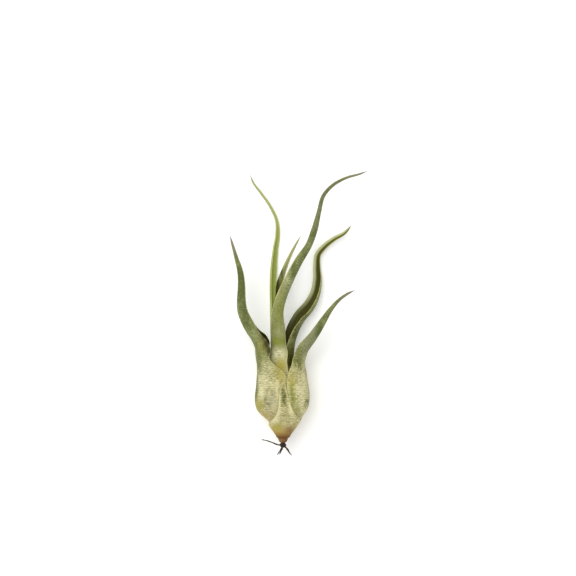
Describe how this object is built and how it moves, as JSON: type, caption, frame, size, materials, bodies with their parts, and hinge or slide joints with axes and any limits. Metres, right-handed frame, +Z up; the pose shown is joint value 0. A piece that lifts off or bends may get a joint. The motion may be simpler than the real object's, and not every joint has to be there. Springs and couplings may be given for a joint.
{
  "type": "air plant",
  "caption": "Bulbous air plant lying on its back: a pouched bulb of clasping leaf sheaths, long channelled leaves that wave out of it, and a tuft of wiry roots",
  "frame": {"origin": "on the table under the bulb, in the small flat of the back scale that the plant rests on", "axes": "+X to the right of the plant's front, +Y from its roots to its leaf tips, +Z up off the table"},
  "size_m": [0.0778, 0.1598, 0.0292],
  "materials": {
    "leaf_left": "matte",
    "leaf_right": "matte",
    "leaf_front": "matte",
    "leaf_back_right": "matte",
    "leaf_back_left": "matte",
    "leaf_inner": "matte",
    "scale_front": "matte",
    "scale_back": "matte",
    "stem": "matte",
    "root_tuft": "matte"
  },
  "bodies": {
    "root": {"leaf_left": "leaf_left", "leaf_right": "leaf_right", "leaf_front": "leaf_front", "leaf_back_right": "leaf_back_right", "leaf_back_left": "leaf_back_left", "leaf_inner": "leaf_inner", "scale_front": "scale_front", "scale_back": "scale_back", "stem": "stem", "root_tuft": "root_tuft"}
  },
  "joints": []
}
